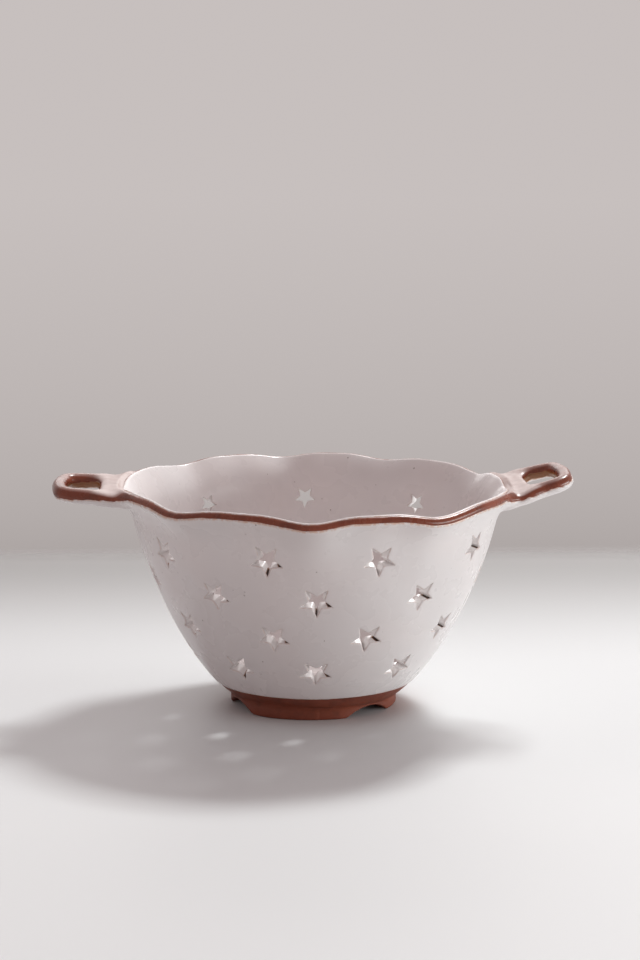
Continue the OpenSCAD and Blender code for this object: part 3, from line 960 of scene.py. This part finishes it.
class Handle:
    """One handle: a loop of bar and its web, melted into the lip. side is -1 for the left one and 1 for
    the right. Its own frame runs out along it, across it and up, from its root at the rim."""

    def __init__(self, section, sizes, side):
        self.section = section
        self.side = side
        self.length = in_mm(sizes, "left_l" if side < 0 else "right_l")
        self.bar_t = in_mm(sizes, "bar_t")
        self.web_w = in_mm(sizes, "web_w")
        self.handle_w = in_mm(sizes, "handle_w")
        self.bar_w = in_mm(sizes, "bar_w")
        turn = side * sizes.turn
        tilt = sizes.left_tilt if side < 0 else sizes.right_tilt
        lean = side * sizes.lean
        out = np.array([math.sin(turn), -math.cos(turn), 0])
        across = np.array([-out[1], out[0], 0])
        up = np.array([0, 0, 1.0])
        high = math.cos(tilt) * up - math.sin(tilt) * out
        self.axes = np.stack([
            math.cos(tilt) * out + math.sin(tilt) * up,
            math.cos(lean) * across + math.sin(lean) * high,
            math.cos(lean) * high - math.sin(lean) * across,
        ])
        centre_h = section.rim_h + in_mm(sizes, "lift") - self.bar_t / 2
        self.root = section.rim_r * out + centre_h * up
        self.lay_path(in_mm(sizes, "end_bar_w"))
        self.map_lip()

    def lay_path(self, end_bar_w):
        """The middle line of the bar, and its width along it."""
        one = [(x * self.length, y * self.handle_w / 2) for x, y in BAR_PATH]
        widths = [self.bar_w + e * (end_bar_w - self.bar_w) for e in BAR_ENDS]
        corners = np.array([(x, -y) for x, y in one] + one[-2::-1])
        step = lengths_along(corners)
        fine = np.linspace(0, step[-1], PATH_POINTS)
        self.wide = np.interp(fine, step, np.array(widths + widths[-2::-1]))
        self.path = np.stack([np.interp(fine, step, corners[:, k]) for k in (0, 1)], 1)
        for _ in range(PATH_SOFTENINGS):
            self.path[1:-1] = 0.5 * self.path[1:-1] + 0.25 * (self.path[:-2] + self.path[2:])

    def map_lip(self):
        """Distance from the clay's section, on a grid of radius and height near the lip."""
        s = self.section
        keep = (s.q > 0.55) & (s.q < 2.45)
        outline = np.stack([s.r[keep], s.z[keep]], 1)
        self.map_r = np.arange(*LIP_MAP_R, LIP_GRID)
        self.map_z = np.arange(*LIP_MAP_Z, LIP_GRID)
        r, z = np.meshgrid(self.map_r, self.map_z, indexing="ij")
        points = np.stack([r.ravel(), z.ravel()], 1)
        far = np.concatenate([from_outline(part, outline[::2]) for part in np.array_split(points, 24)])
        far[inside_outline(points, outline)] *= -1
        self.map = far.reshape(r.shape)
        outer = s.q <= 1
        self.wave_z, self.wave_share = s.z[outer], s.wave[outer]
        inner = (s.q >= 2) & (s.q <= 3)
        self.hollow_z, self.hollow_r = s.z[inner][::-1], s.r[inner][::-1]
        self.crest_r = float(s.r[np.argmax(s.z)])

    def unwaved(self, p):
        """Radius and height of places, as they were before the lip was pressed into its wave."""
        turn = np.arctan2(p[..., 0], -p[..., 1])
        wave = np.interp(p[..., 2], self.wave_z, self.wave_share)
        d = wave * (self.section.dips(turn) - DIP_MEAN)
        r = np.hypot(p[..., 0], p[..., 1]) - self.section.reach * d * np.cos(turn) ** 2
        return r, p[..., 2] + self.section.drop * d

    def lip(self, r, z):
        """Distance from the clay of the lip, read off its grid."""
        u = np.clip((r - self.map_r[0]) / LIP_GRID, 0, len(self.map_r) - 1.001)
        v = np.clip((z - self.map_z[0]) / LIP_GRID, 0, len(self.map_z) - 1.001)
        i, j = u.astype(int), v.astype(int)
        fu, fv = u - i, v - j
        m = self.map
        low = m[i, j] * (1 - fv) + m[i, j + 1] * fv
        high = m[i + 1, j] * (1 - fv) + m[i + 1, j + 1] * fv
        return low * (1 - fu) + high * fu

    def hollow(self, r, z):
        """How far a place is inside the bowl's hollow."""
        edge = np.interp(z, self.hollow_z, self.hollow_r)
        above = np.minimum(self.crest_r, edge + (z - self.hollow_z[-1]))
        return (np.where(z > self.hollow_z[-1], above, edge) - r) * 0.9

    def world(self, own):
        return own @ self.axes + self.root

    def bars(self, own):
        """Distance from the loop of bar and its web, in the handle's own frame."""
        flat = own[..., :2].reshape(-1, 2)
        near = np.full(len(flat), 1e9)
        wide = np.zeros(len(flat))
        for k in range(PATH_POINTS - 1):
            a = self.path[k]
            ab = self.path[k + 1] - a
            along = clamped(((flat - a) @ ab) / (ab @ ab))
            d = np.hypot(flat[:, 0] - a[0] - along * ab[0], flat[:, 1] - a[1] - along * ab[1])
            closer = d < near
            near = np.where(closer, d, near)
            wide = np.where(closer, self.wide[k] + along * (self.wide[k + 1] - self.wide[k]), wide)
        near = near.reshape(own.shape[:-1])
        half = wide.reshape(own.shape[:-1]) / 2
        off = np.abs(own[..., 0] - (self.web_w - self.section.lip_r) / 2)
        past = np.maximum(np.abs(own[..., 1]) - (self.handle_w - self.bar_w) / 2, 0)
        web = np.hypot(off, past) - self.web_w / 2
        inside = np.maximum(smooth_least(near - half, web, PLAN_BLEND) / half + 1, 0)
        # The top drops towards the lip, and the underside doesn't
        thinner = ROOT_THINNING[self.side] * (1 - eased(clamped((own[..., 0] + 1) / 10)))
        thick = self.bar_t / 2 * (0.94 + 0.05 * clamped(own[..., 0] / self.length)) - thinner
        level = np.abs(own[..., 2] + thinner) / thick
        size = (inside ** BAR_ROUNDNESS + level ** BAR_ROUNDNESS) ** (1 / BAR_ROUNDNESS)
        return (size - 1) * np.minimum(half, thick)

    def field(self, own):
        """Distance from the handle melted into the lip. The melt is widest on top, and ends where the
        bowl's hollow begins."""
        r, z = self.unwaved(self.world(own))
        hollow = self.hollow(r, z)
        bars = smooth_most(self.bars(own), hollow + 0.4, 2.5)
        bars = bars + 0.05 * np.sin(own[..., 1] / 5.3 + 1) * np.sin(own[..., 0] / 6.1)
        outside = clamped((-hollow - 0.3) / 1.6)
        high = clamped(own[..., 2] / 2 + 0.5)
        low = clamped(-own[..., 2] / 2.5)
        melt = MELT_INSIDE + outside * (MELT_OUTSIDE - MELT_LESS_UNDER * low + MELT_MORE_ON_TOP * high)
        return smooth_least(bars, self.lip(r, z) + 0.16, melt)

    def slope(self, own):
        h = 0.12
        steps = h * np.eye(3)
        return np.stack([(self.field(own + step) - self.field(own - step)) / (2 * h) for step in steps], 1)

    def surface(self):
        """Points, quads and normals of the handle's surface, in its own frame."""
        origin = np.array(NET_CORNER)
        spans = (self.length + NET_SIZE[0], *NET_SIZE[1:])
        counts = [int(span / NET_STEP) for span in spans]
        axes = [start + NET_STEP * np.arange(n) for start, n in zip(origin, counts, strict=True)]
        grid = np.stack(np.meshgrid(*axes, indexing="ij"), -1)
        places, quads = surface_net(self.field(grid), origin, NET_STEP)
        for _ in range(NET_PASSES):
            slope = self.slope(places)
            size = (slope ** 2).sum(1)
            move = (self.field(places) / np.maximum(size, 0.2))[:, None] * slope
            places = places - np.clip(move, -0.3, 0.3)
        slope = self.slope(places)
        return places, quads, slope / np.maximum(np.linalg.norm(slope, axis=1), 1e-6)[:, None]


def wiped_film_and_sheen(handle, own, normals, bars):
    """Share of the pale layer on the tops of the bars: a wiped layer of glaze, which reaches lower inside
    the web, and partly a painted sheen of the window's reflection on the faces that look up.
    """
    web = clamped((handle.web_w + 2.5 - own[:, 0]) / 3)
    inner = clamped((handle.web_w - own[:, 0]) / 4) * clamped((14 - np.abs(own[:, 1])) / 3)
    top = clamped((normals[:, 2] - 0.72 + 0.45 * inner) / 0.22)
    return top * clamped(1.6 - bars / 2.5) * (0.3 + 0.7 * web)


def under_dip(handle, own, world, r, z):
    """How far places lie under the ragged line that the dipped glaze reached, which runs on into the
    top line of the wall's coat."""
    out = clamped(own[:, 0] / handle.length)
    root, end = DIP_LINES[handle.side]
    line = handle.bar_t * (root + out * (end - root))
    rng = np.random.default_rng(DRIP_SEEDS[handle.side])
    drips = np.zeros(len(own))
    for scale, size in DRIPS:
        a, b = rng.uniform(0, 6.28, 2)
        drips = drips + size * np.sin(own[:, 0] / scale * 2 + a + 1.3 * np.sin(own[:, 1] / scale + b))
    section = handle.section
    wall_top = glaze_top(section, np.arctan2(world[:, 0], -world[:, 1]))
    wall_z = np.interp(wall_top, section.s, section.z)
    near = eased(clamped(1 - (r - section.rim_r + 0.5) / 6))
    return (1 - near) * (line - own[:, 2]) + near * (wall_z - z) + drips


def make_skin(name, material, places, thin, quads):
    maker = Maker()
    maker.add(places, thin)
    maker.faces.append(quads)
    return maker.make(name, material, 60)


def make_handle(handle, clay_material, coat_material, names):
    """The clay of a handle where it stands clear of the lip, and the coat that it was dipped in."""
    own, quads, normals = handle.surface()
    world = handle.world(own)
    r, z = handle.unwaved(world)
    bars = handle.bars(own)
    show = bars < HANDLE_REACH
    # The clay's thin values carry the pale layer: wiped glaze, and a painted sheen on the tops that face up
    film_and_sheen = wiped_film_and_sheen(handle, own, normals, bars)
    clay_piece = make_skin(names[0], clay_material, world, film_and_sheen, quads[show[quads].all(1)])
    # Inside the slot the glaze has crept higher and stayed thin
    slot = inside_outline(own[:, :2], handle.path) & (own[:, 0] > handle.web_w / 2)
    creep = np.where(slot & (normals[:, 2] < 0.75), 1.0, 0.0)
    under = np.where(handle.hollow(r, z) > -1.2, -5.0, under_dip(handle, own, world, r, z) + creep)
    cover = feathered(under, handle.section.glaze, 0.7)
    cover = np.where(slot & (under < 1.9), np.minimum(cover, 0.12), cover)
    thin = np.where(slot, 2 * clamped((3.0 - under) / 1.2), clamped(1 - under / 0.7) ** 1.5)
    coated = show & (under > -0.9)
    places = handle.world(own + normals * cover[:, None])
    coat_piece = make_skin(names[1], coat_material, places, thin, quads[coated[quads].all(1)])
    return clay_piece, coat_piece


class Nodes:
    """A node tree, built by short calls."""

    def __init__(self, tree):
        self.tree = tree

    def new(self, kind, **settings):
        node = self.tree.nodes.new(kind)
        for key, value in settings.items():
            setattr(node, key, value)
        return node

    def feed(self, value, socket):
        """Links a socket to another, or sets it to a number or a colour."""
        if isinstance(value, bpy.types.NodeSocket):
            self.tree.links.new(value, socket)
        elif isinstance(value, (int, float)):
            socket.default_value = value
        else:
            socket.default_value = (*value, 1.0)

    def parts(self, vector):
        split = self.new("ShaderNodeSeparateXYZ")
        self.feed(vector, split.inputs["Vector"])
        return split.outputs

    def ramp(self, value, low, high, to_low=0.0, to_high=1.0, kind="SMOOTHSTEP"):
        node = self.new("ShaderNodeMapRange", clamp=True, interpolation_type=kind)
        self.feed(value, node.inputs["Value"])
        self.feed(low, node.inputs["From Min"])
        self.feed(high, node.inputs["From Max"])
        self.feed(to_low, node.inputs["To Min"])
        self.feed(to_high, node.inputs["To Max"])
        return node.outputs["Result"]

    def maths(self, operation, a, b):
        node = self.new("ShaderNodeMath", operation=operation)
        self.feed(a, node.inputs[0])
        self.feed(b, node.inputs[1])
        return node.outputs[0]

    def mix(self, share, a, b):
        node = self.new("ShaderNodeMix", data_type="RGBA")
        self.feed(share, node.inputs["Factor"])
        self.feed(a, node.inputs["A"])
        self.feed(b, node.inputs["B"])
        return node.outputs["Result"]


class Finish(Nodes):
    """A new material and its node tree."""

    def __init__(self, name):
        self.material = bpy.data.materials.new(name)
        self.material.use_nodes = True
        super().__init__(self.material.node_tree)
        self.shader = self.tree.nodes["Principled BSDF"]
        self.objects = self.new("ShaderNodeTexCoord").outputs["Object"]

    def set(self, name, value):
        self.feed(value, self.shader.inputs[name])

    def thin(self):
        return self.new("ShaderNodeAttribute", attribute_name="thin").outputs["Fac"]

    def noise(self, size, detail=3.0, rough=0.5, stretch=(1, 1, 1)):
        """Noise whose features are about size across, in metres."""
        place = self.new("ShaderNodeMapping")
        place.inputs["Scale"].default_value = [s / size for s in stretch]
        self.feed(self.objects, place.inputs["Vector"])
        node = self.new("ShaderNodeTexNoise")
        self.feed(1.0, node.inputs["Scale"])
        self.feed(detail, node.inputs["Detail"])
        self.feed(rough, node.inputs["Roughness"])
        self.feed(place.outputs["Vector"], node.inputs["Vector"])
        return node.outputs["Fac"]

    def bump(self, heights, strength, distance, under=None):
        node = self.new("ShaderNodeBump")
        self.feed(strength, node.inputs["Strength"])
        self.feed(distance, node.inputs["Distance"])
        self.feed(heights, node.inputs["Height"])
        if under is not None:
            self.feed(under, node.inputs["Normal"])
        return node.outputs["Normal"]


def glaze_material(finishes):
    """Satin white, pinkish where it is thin, amber where it hardly covers, and lightly specked. Bare
    corners deep in the stars are painted very dark as bare clay with painted shade, and the pooled glaze in
    the stars is lightened with a painted highlight.
    """
    m = Finish("white_satin_glaze")
    colour = m.mix(m.ramp(m.noise(0.028, 2.0), 0.35, 0.65), finishes.glaze, finishes.glaze_cool)
    thin = m.thin()
    broken = m.maths("MULTIPLY", thin, m.ramp(m.noise(0.0016, 2.0), 0.3, 0.62, 0.35, 1.0))
    colour = m.mix(m.ramp(broken, 0.15, 0.95), colour, finishes.glaze_thin)
    colour = m.mix(m.ramp(thin, 1.05, 1.7), colour, finishes.glaze_amber)
    # Bare corners of the stars: bare clay, darkened with painted shade
    colour = m.mix(m.ramp(thin, 2.1, 2.8), colour, finishes.bare_clay_and_shade)
    # Star linings: pooled glaze, lightened as a painted highlight
    colour = m.mix(m.ramp(thin, -0.8, -0.2, 1.0, 0.0), colour, finishes.glaze_pool_and_highlight)
    cells = m.new("ShaderNodeTexVoronoi", feature="F1")
    m.feed(260.0, cells.inputs["Scale"])
    m.feed(m.objects, cells.inputs["Vector"])
    chosen = m.new("ShaderNodeSeparateColor")
    m.feed(cells.outputs["Color"], chosen.inputs["Color"])
    size = m.ramp(chosen.outputs["Red"], 0.72, 1.0, 0.0, 0.105)
    spot = m.maths("LESS_THAN", cells.outputs["Distance"], size)
    strength = m.maths("MULTIPLY", spot, m.ramp(chosen.outputs["Green"], 0.0, 1.0, 0.25, 0.85))
    m.set("Base Color", m.mix(strength, colour, finishes.speck))
    m.set("Roughness", m.ramp(m.noise(0.012, 3.0), 0.3, 0.7, 0.24, 0.34))
    m.set("IOR", 1.5)
    swell = m.bump(m.noise(0.009, 1.0), 0.2, 0.0004)
    m.set("Normal", m.bump(m.noise(0.0022, 2.0), 0.12, 0.0001, swell))
    return m.material


def terracotta_material(finishes):
    """Burnished and glossy on the lip and handles, and satin lower down."""
    m = Finish("burnished_terracotta")
    colour = m.mix(m.ramp(m.noise(0.013, 4.0, 0.6), 0.36, 0.66), finishes.clay, finishes.clay_light)
    dark = m.ramp(m.noise(0.007, 3.0, 0.6), 0.42, 0.7, 0.0, 0.7)
    colour = m.mix(dark, colour, finishes.clay_dark)
    grains = m.ramp(m.noise(0.0007, 2.0), 0.55, 0.75, 0.0, 0.25)
    colour = m.mix(grains, colour, finishes.clay_light)
    # The pale layer on the handles' tops: wiped glaze, and a painted sheen of the window's reflection
    film_and_sheen = m.maths("MULTIPLY", m.thin(), m.ramp(m.noise(0.005, 2.0), 0.3, 0.65, 0.7, 0.92))
    m.set("Base Color", m.mix(film_and_sheen, colour, finishes.film_and_sheen))
    gloss = m.ramp(m.parts(m.objects)["Z"], 0.02, 0.06)
    satin = m.maths("ADD", m.ramp(gloss, 0.0, 1.0, 0.25, 0.0), m.maths("MULTIPLY", film_and_sheen, 0.18))
    m.set("Roughness", m.maths("ADD", m.ramp(m.noise(0.004, 3.0), 0.3, 0.7, 0.22, 0.3), satin))
    m.set("IOR", 1.42)
    swell = m.bump(m.noise(0.006, 2.0), 0.35, 0.0004)
    rings = m.bump(m.noise(0.004, 1.0, 0.5, (0.15, 0.15, 4.0)), 0.2, 0.0001, swell)
    m.set("Normal", m.bump(m.noise(0.0006, 2.0), 0.12, 0.00005, rings))
    return m.material


def floor_material(finishes):
    """Matt and pale, lighter in front as painted light over the cast shadow, and darker towards the far
    edge as painted shade, where it fades out.
    """
    m = Finish("pale_table")
    place = m.parts(m.objects)
    away = m.maths("ADD", place["Y"], m.maths("MULTIPLY", place["X"], 0.0083))
    # Lighter in front: painted light over the cast shadow
    colour = m.mix(m.ramp(away, -0.18, -0.05), finishes.table_near_lit, finishes.table)
    # Darker towards the far edge: painted shade
    m.set("Base Color", m.mix(m.ramp(away, 0.05, 0.29), colour, finishes.table_far_shade))
    m.set("Alpha", m.ramp(away, 0.275, 0.325, 1.0, 0.0))
    m.set("Roughness", 0.55)
    return m.material


def glaze():
    made = bpy.data.materials.get("white_satin_glaze")
    return made or glaze_material(bpy.context.scene.colander_finishes)


def clay():
    made = bpy.data.materials.get("burnished_terracotta")
    return made or terracotta_material(bpy.context.scene.colander_finishes)


def put(piece, node):
    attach(piece, "root")
    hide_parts(node)


class COLANDER_OT_bowl(bpy.types.Operator):
    """Builds the clay bowl and its two white coats, with the star holes and drain holes cut and lined"""

    bl_idname = "colander.bowl"
    bl_label = "Bowl and coats"

    def execute(self, context):
        sizes = context.scene.colander_bowl
        section = Section(context.scene)
        stars = all_stars(section, sizes)
        put(make_bowl_clay(section, sizes, stars, clay()), "bowl_body")
        put(make_outer_coat(section, sizes, stars, glaze()), "outer_glaze")
        put(make_inner_coat(section, sizes, stars, glaze()), "inner_glaze")
        return {"FINISHED"}


class COLANDER_OT_foot(bpy.types.Operator):
    """Builds the foot ring with its arched drain gaps"""

    bl_idname = "colander.foot"
    bl_label = "Foot ring"

    def execute(self, context):
        put(make_foot(context.scene.colander_foot, clay()), "foot_ring")
        return {"FINISHED"}


class COLANDER_OT_handles(bpy.types.Operator):
    """Builds both looped handles, melted into the lip, with the glaze that the dip left on them"""

    bl_idname = "colander.handles"
    bl_label = "Handles"

    def execute(self, context):
        section = Section(context.scene)
        for side, word in ((-1, "left"), (1, "right")):
            handle = Handle(section, context.scene.colander_handles, side)
            names = (f"{word}_handle_clay", f"{word}_handle_coat")
            bare, coat = make_handle(handle, clay(), glaze(), names)
            put(bare, f"{word}_handle")
            put(coat, f"{word}_handle_glaze")
        return {"FINISHED"}


def set_out_floor(scene):
    mesh = bpy.data.meshes.new("floor")
    half, far_left, far_right = 2.4, 0.35, 0.31
    corners = [(-half, -half, 0), (half, -half, 0), (half, far_right, 0), (-half, far_left, 0)]
    mesh.from_pydata(corners, [], [(0, 1, 2, 3)])
    floor = bpy.data.objects.new("floor", mesh)
    scene.collection.objects.link(floor)
    mesh.materials.append(floor_material(scene.colander_finishes))


def light_room(scene):
    """An even light from all round. The camera, and reflections, see a plain room instead."""
    finishes = scene.colander_finishes
    world = bpy.data.worlds.new("soft_room")
    scene.world = world
    world.use_nodes = True
    m = Nodes(world.node_tree)
    light = m.tree.nodes["Background"]
    m.feed(ROOM_TINT, light.inputs["Color"])
    m.feed(ROOM_STRENGTH, light.inputs["Strength"])
    height = m.parts(m.new("ShaderNodeTexCoord").outputs["Generated"])["Z"]
    rise = m.maths("POWER", m.ramp(height, -0.205, -0.06, kind="LINEAR"), 0.45)
    seen = m.new("ShaderNodeBackground")
    m.feed(m.mix(rise, finishes.room_low, finishes.room), seen.inputs["Color"])
    rays = m.new("ShaderNodeLightPath").outputs
    shown = rays["Is Camera Ray"]
    for ray in ("Is Glossy Ray", "Is Transmission Ray"):
        shown = m.maths("MAXIMUM", shown, rays[ray])
    pick = m.new("ShaderNodeMixShader")
    m.feed(shown, pick.inputs["Fac"])
    m.feed(light.outputs["Background"], pick.inputs[1])
    m.feed(seen.outputs["Background"], pick.inputs[2])
    m.feed(pick.outputs["Shader"], m.tree.nodes["World Output"].inputs["Surface"])


def hang_lamps(scene):
    for name, (place, aim, size, watts, tint) in LAMPS.items():
        data = bpy.data.lights.new(name, "AREA")
        data.shape = "RECTANGLE"
        data.size, data.size_y = size
        data.energy = watts
        data.color = tint
        lamp = bpy.data.objects.new(name, data)
        scene.collection.objects.link(lamp)
        lamp.location = place
        lamp.rotation_mode = "QUATERNION"
        lamp.rotation_quaternion = (Vector(aim) - Vector(place)).to_track_quat("-Z", "Y")


def set_camera(scene):
    data = bpy.data.cameras.new("camera")
    data.sensor_fit = "VERTICAL"
    data.sensor_height = 36.0
    data.lens = CAMERA_LENS
    data.clip_start, data.clip_end = 0.01, 20.0
    camera = bpy.data.objects.new("camera", data)
    scene.collection.objects.link(camera)
    heading = Vector(CAMERA_HEADING).normalized()
    ahead = heading * math.cos(CAMERA_PITCH) + Vector((0, 0, -math.sin(CAMERA_PITCH)))
    right = ahead.cross(Vector((0, 0, 1))).normalized()
    up = right.cross(ahead)
    side = right * math.cos(CAMERA_ROLL) + up * math.sin(CAMERA_ROLL)
    top = up * math.cos(CAMERA_ROLL) - right * math.sin(CAMERA_ROLL)
    turned = Matrix((side, top, -ahead)).transposed().to_4x4()
    camera.matrix_world = Matrix.Translation(CAMERA_PLACE) @ turned
    scene.camera = camera


class COLANDER_OT_stage(bpy.types.Operator):
    """Sets out the pale floor, the soft light and the camera"""

    bl_idname = "colander.stage"
    bl_label = "Stage"

    def execute(self, context):
        set_out_floor(context.scene)
        light_room(context.scene)
        hang_lamps(context.scene)
        set_camera(context.scene)
        context.scene.view_settings.view_transform = "Standard"
        return {"FINISHED"}


class COLANDER_PT_panel(bpy.types.Panel):
    """Lists the pieces of the bowl and the sizes they are built from"""

    bl_label = "Berry Colander Bowl"
    bl_idname = "COLANDER_PT_panel"
    bl_space_type = "VIEW_3D"
    bl_region_type = "UI"
    bl_category = "Colander"

    def draw(self, context):
        scene = context.scene
        groups = (
            (COLANDER_OT_bowl, scene.colander_bowl),
            (COLANDER_OT_foot, scene.colander_foot),
            (COLANDER_OT_handles, scene.colander_handles),
            (COLANDER_OT_stage, scene.colander_finishes),
        )
        for operator, settings in groups:
            box = self.layout.box()
            for name in settings.__annotations__:
                box.prop(settings, name)
            box.operator(operator.bl_idname)


GROUPS = {
    "colander_bowl": ColanderBowlSizes,
    "colander_foot": ColanderFootSizes,
    "colander_handles": ColanderHandleSizes,
    "colander_finishes": ColanderFinishes,
}
CLASSES = (
    *GROUPS.values(),
    COLANDER_OT_bowl,
    COLANDER_OT_foot,
    COLANDER_OT_handles,
    COLANDER_OT_stage,
    COLANDER_PT_panel,
)


def register():
    for c in CLASSES:
        bpy.utils.register_class(c)
    for name, group in GROUPS.items():
        setattr(bpy.types.Scene, name, bpy.props.PointerProperty(type=group))


def unregister():
    for name in reversed(GROUPS):
        delattr(bpy.types.Scene, name)
    for c in reversed(CLASSES):
        bpy.utils.unregister_class(c)


def main():
    register()
    bpy.ops.colander.stage()
    bpy.ops.colander.bowl()
    bpy.ops.colander.foot()
    bpy.ops.colander.handles()


if __name__ == "__main__":
    main()
